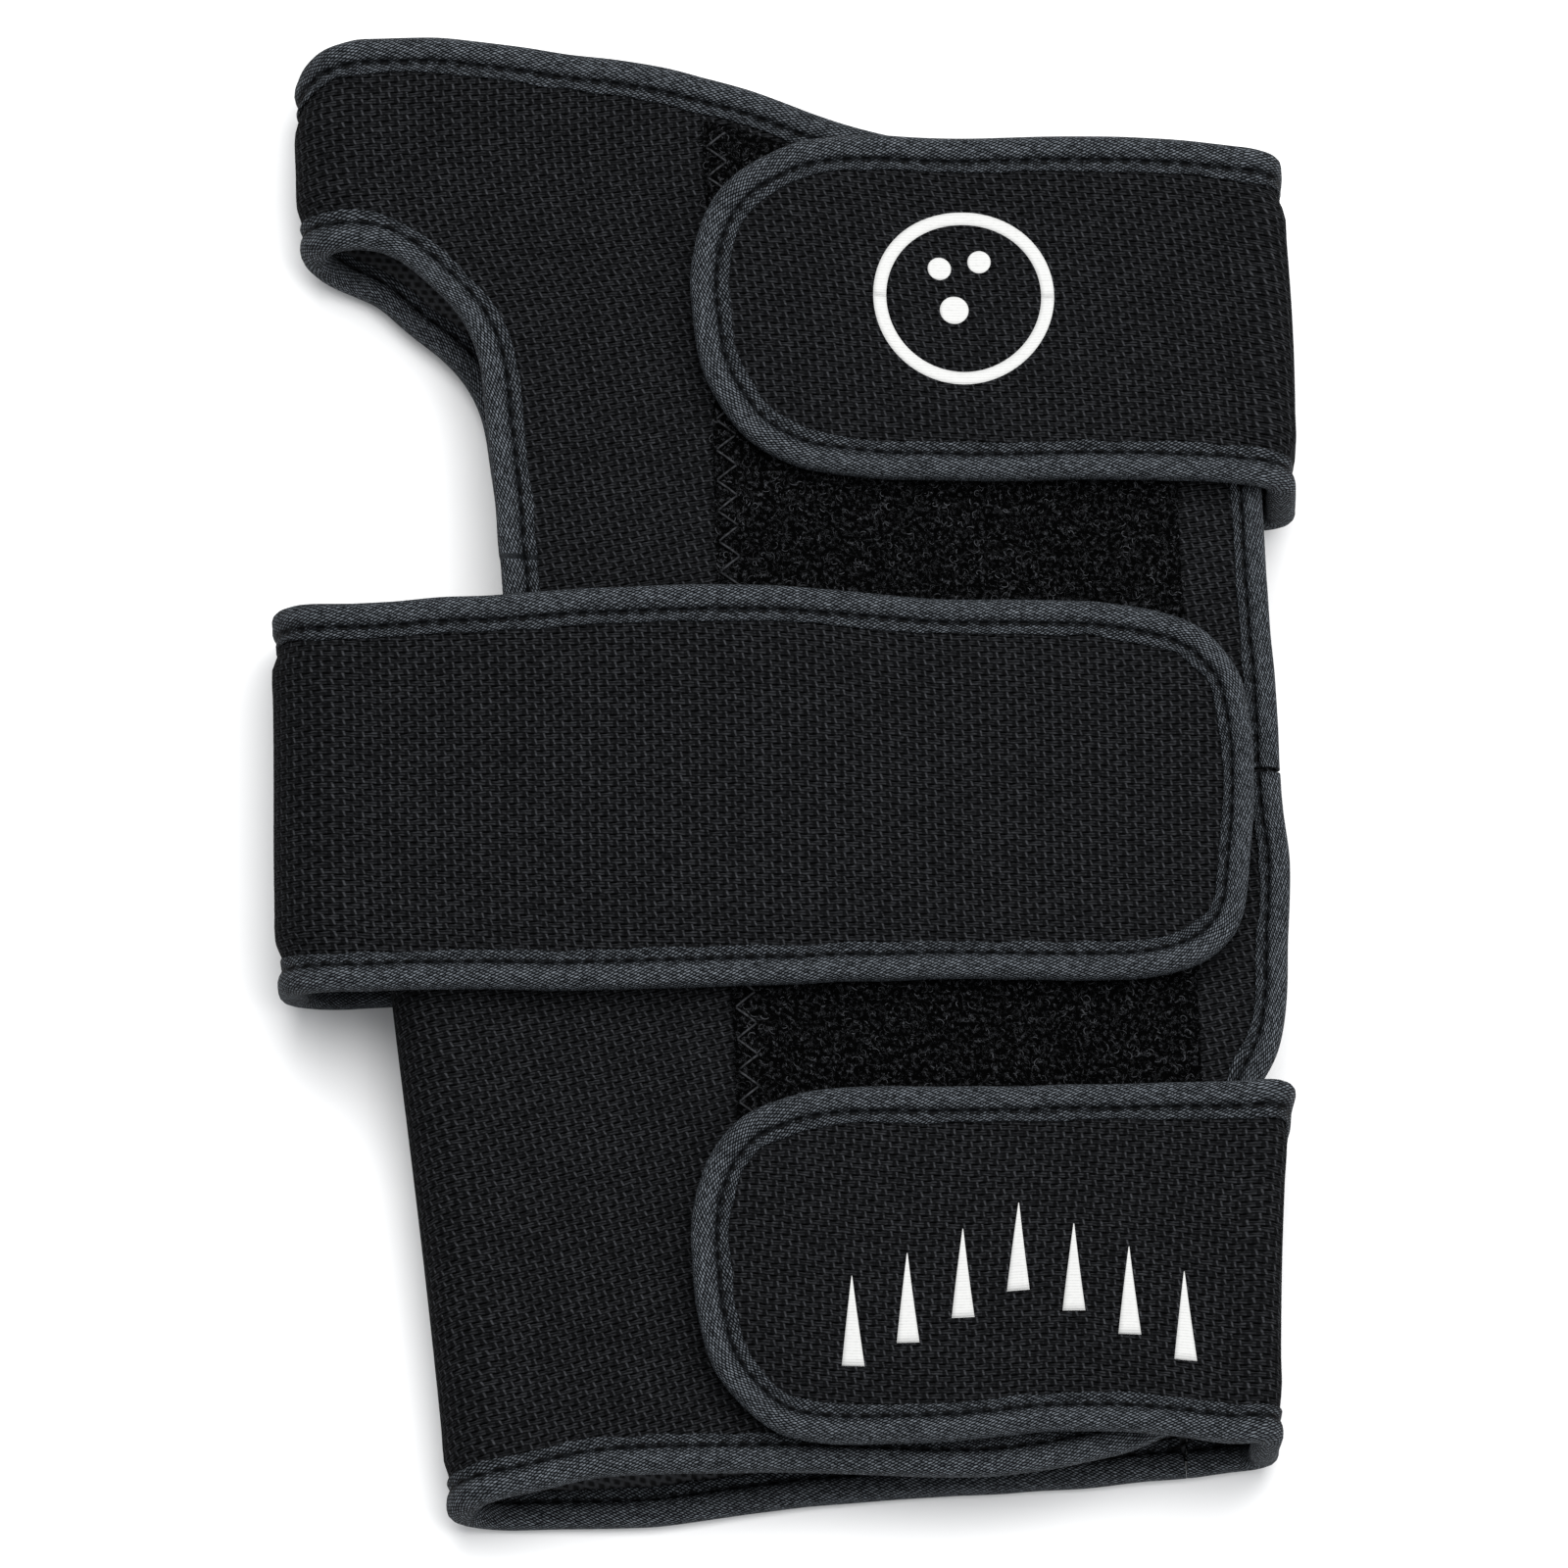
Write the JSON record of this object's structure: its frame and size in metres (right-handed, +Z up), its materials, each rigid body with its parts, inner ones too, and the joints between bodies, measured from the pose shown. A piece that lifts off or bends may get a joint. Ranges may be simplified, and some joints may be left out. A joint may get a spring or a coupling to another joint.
{
  "type": "bowling glove",
  "caption": "Padded wrist-support bowling glove lying flat: a wrapped panel with a thumb hole, bound edges and closed hook-and-loop straps.",
  "frame": {"origin": "bottom centre of the glove's box, on the surface that it lies on", "axes": "+Y from the forearm end to the hand end, +X from the thumb side to the other side as seen from above, +Z up from the surface, palm side down"},
  "size_m": [0.1496, 0.2192, 0.0284],
  "materials": {
    "woven_cloth": "black basket-like weave over thin foam, matt",
    "mesh_lining": "dark knitted mesh lining, matt",
    "binding_tape": "dark grey woven tape, slight sheen",
    "loop_pile": "black curly loop pile",
    "hook_tape": "black hook tape",
    "thread": "black sewing thread",
    "print": null
  },
  "bodies": {
    "root": {"body_panel": "woven_cloth", "hand_end_binding": "binding_tape", "forearm_end_binding": "binding_tape", "thumb_binding": "binding_tape", "palm_edge_binding": "binding_tape", "loop_field": "loop_pile", "hand_strap": "woven_cloth", "hand_strap_binding": "binding_tape", "hand_strap_hook_patch": "hook_tape", "wrist_strap": "woven_cloth", "wrist_strap_binding": "binding_tape", "wrist_strap_hook_patch": "hook_tape", "forearm_strap": "woven_cloth", "forearm_strap_binding": "binding_tape", "forearm_strap_hook_patch": "hook_tape"}
  },
  "joints": []
}
